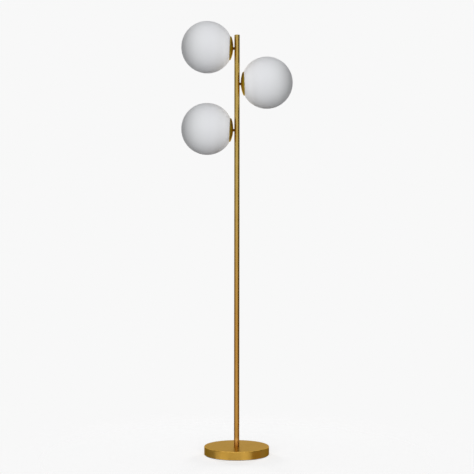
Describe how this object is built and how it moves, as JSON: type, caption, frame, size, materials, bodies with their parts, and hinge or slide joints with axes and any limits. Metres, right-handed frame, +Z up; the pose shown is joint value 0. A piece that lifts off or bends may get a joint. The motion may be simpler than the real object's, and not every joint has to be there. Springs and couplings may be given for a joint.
{
  "type": "tree floor lamp",
  "caption": "Tree floor lamp: round opal glass globes on short stubs to either side of a slim brass-finished pole, on a round weighted base.",
  "frame": {"origin": "on the floor, on the pole's axis, at the centre of the base's underside", "axes": "+Z up along the pole; the front faces -Y, with the cord outlet at the rear on +Y; the single middle globe points to +X"},
  "size_m": [0.4308, 0.251, 1.675],
  "materials": {
    "antique_brass": "satin plated, darker than polished brass",
    "dark_brass": "satin plated, a little greener than the pole",
    "opal_glass": "opal, satin etched outside",
    "grey_iron": "as cast",
    "zinc_plated_steel": "zinc plated",
    "die_cast_aluminium": "turned",
    "porcelain": "glazed",
    "contact_brass": "bright",
    "bulb_shell": "bright",
    "frosted_glass": "frosted",
    "silicone": "matt",
    "white_plastic": "matt",
    "black_plastic": "matt",
    "lead_jacket": "smooth",
    "pad_rubber": "grey, matt, die-cut"
  },
  "bodies": {
    "stand": {"foot_pad": "pad_rubber", "bottom_plate": "zinc_plated_steel", "plate_screws": "zinc_plated_steel", "base_weight": "grey_iron", "base_cover": "antique_brass", "cord_grommet": "black_plastic", "terminal_block": "white_plastic", "base_stud": "zinc_plated_steel", "base_washer": "zinc_plated_steel", "base_nut": "zinc_plated_steel", "lower_pole": "antique_brass", "middle_pole": "antique_brass", "upper_pole": "antique_brass", "pole_foot_bush": "zinc_plated_steel", "lower_coupler": "zinc_plated_steel", "upper_coupler": "zinc_plated_steel", "pole_finial": "antique_brass", "supply_lead": "lead_jacket", "splice_cap": "white_plastic", "socket_washers": "zinc_plated_steel", "socket_nuts": "zinc_plated_steel", "centre_contacts": "contact_brass", "upper_arm_block": "zinc_plated_steel", "upper_arm_stub": "dark_brass", "upper_cap": "dark_brass", "upper_fitter": "die_cast_aluminium", "upper_socket": "porcelain", "upper_screw_shell": "contact_brass", "upper_lead": "lead_jacket", "middle_arm_block": "zinc_plated_steel", "middle_arm_stub": "dark_brass", "middle_cap": "dark_brass", "middle_fitter": "die_cast_aluminium", "middle_socket": "porcelain", "middle_screw_shell": "contact_brass", "middle_lead": "lead_jacket", "lower_arm_block": "zinc_plated_steel", "lower_arm_stub": "dark_brass", "lower_cap": "dark_brass", "lower_fitter": "die_cast_aluminium", "lower_socket": "porcelain", "lower_screw_shell": "contact_brass", "lower_lead": "lead_jacket"},
    "upper_gasket": {"upper_gasket": "silicone"},
    "upper_globe": {"upper_globe": "opal_glass", "upper_collar": "white_plastic"},
    "upper_bulb": {"upper_bulb_base": "bulb_shell", "upper_bulb": "frosted_glass"},
    "middle_gasket": {"middle_gasket": "silicone"},
    "middle_globe": {"middle_globe": "opal_glass", "middle_collar": "white_plastic"},
    "middle_bulb": {"middle_bulb_base": "bulb_shell", "middle_bulb": "frosted_glass"},
    "lower_gasket": {"lower_gasket": "silicone"},
    "lower_globe": {"lower_globe": "opal_glass", "lower_collar": "white_plastic"},
    "lower_bulb": {"lower_bulb_base": "bulb_shell", "lower_bulb": "frosted_glass"}
  },
  "joints": [
    {"name": "upper_globe_travel", "type": "slide", "parent": "stand", "child": "upper_gasket", "axis": [-0.999, 0, 0.0436], "range_m": [0, 0.006]},
    {"name": "upper_globe_turn", "type": "hinge", "parent": "upper_gasket", "child": "upper_globe", "pos_m": [-0.11539, 0, 1.57504], "axis": [-0.999, 0, 0.0436], "range_deg": [0, 540]},
    {"name": "upper_bulb_out", "type": "slide", "parent": "stand", "child": "upper_bulb", "axis": [-0.999, 0, 0.0436], "range_m": [0, 0.024]},
    {"name": "middle_globe_travel", "type": "slide", "parent": "stand", "child": "middle_gasket", "axis": [0.999, 0, 0.0436], "range_m": [0, 0.006]},
    {"name": "middle_globe_turn", "type": "hinge", "parent": "middle_gasket", "child": "middle_globe", "pos_m": [0.11539, 0, 1.43804], "axis": [0.999, 0, 0.0436], "range_deg": [0, 540]},
    {"name": "middle_bulb_out", "type": "slide", "parent": "stand", "child": "middle_bulb", "axis": [0.999, 0, 0.0436], "range_m": [0, 0.024]},
    {"name": "lower_globe_travel", "type": "slide", "parent": "stand", "child": "lower_gasket", "axis": [-0.999, 0, 0.0436], "range_m": [0, 0.006]},
    {"name": "lower_globe_turn", "type": "hinge", "parent": "lower_gasket", "child": "lower_globe", "pos_m": [-0.11539, 0, 1.25904], "axis": [-0.999, 0, 0.0436], "range_deg": [0, 540]},
    {"name": "lower_bulb_out", "type": "slide", "parent": "stand", "child": "lower_bulb", "axis": [-0.999, 0, 0.0436], "range_m": [0, 0.024]}
  ],
  "couplings": [
    {"joint": "upper_globe_travel", "follows": "upper_globe_turn", "m_per_rad": 0.0006366},
    {"joint": "middle_globe_travel", "follows": "middle_globe_turn", "m_per_rad": 0.0006366},
    {"joint": "lower_globe_travel", "follows": "lower_globe_turn", "m_per_rad": 0.0006366}
  ]
}
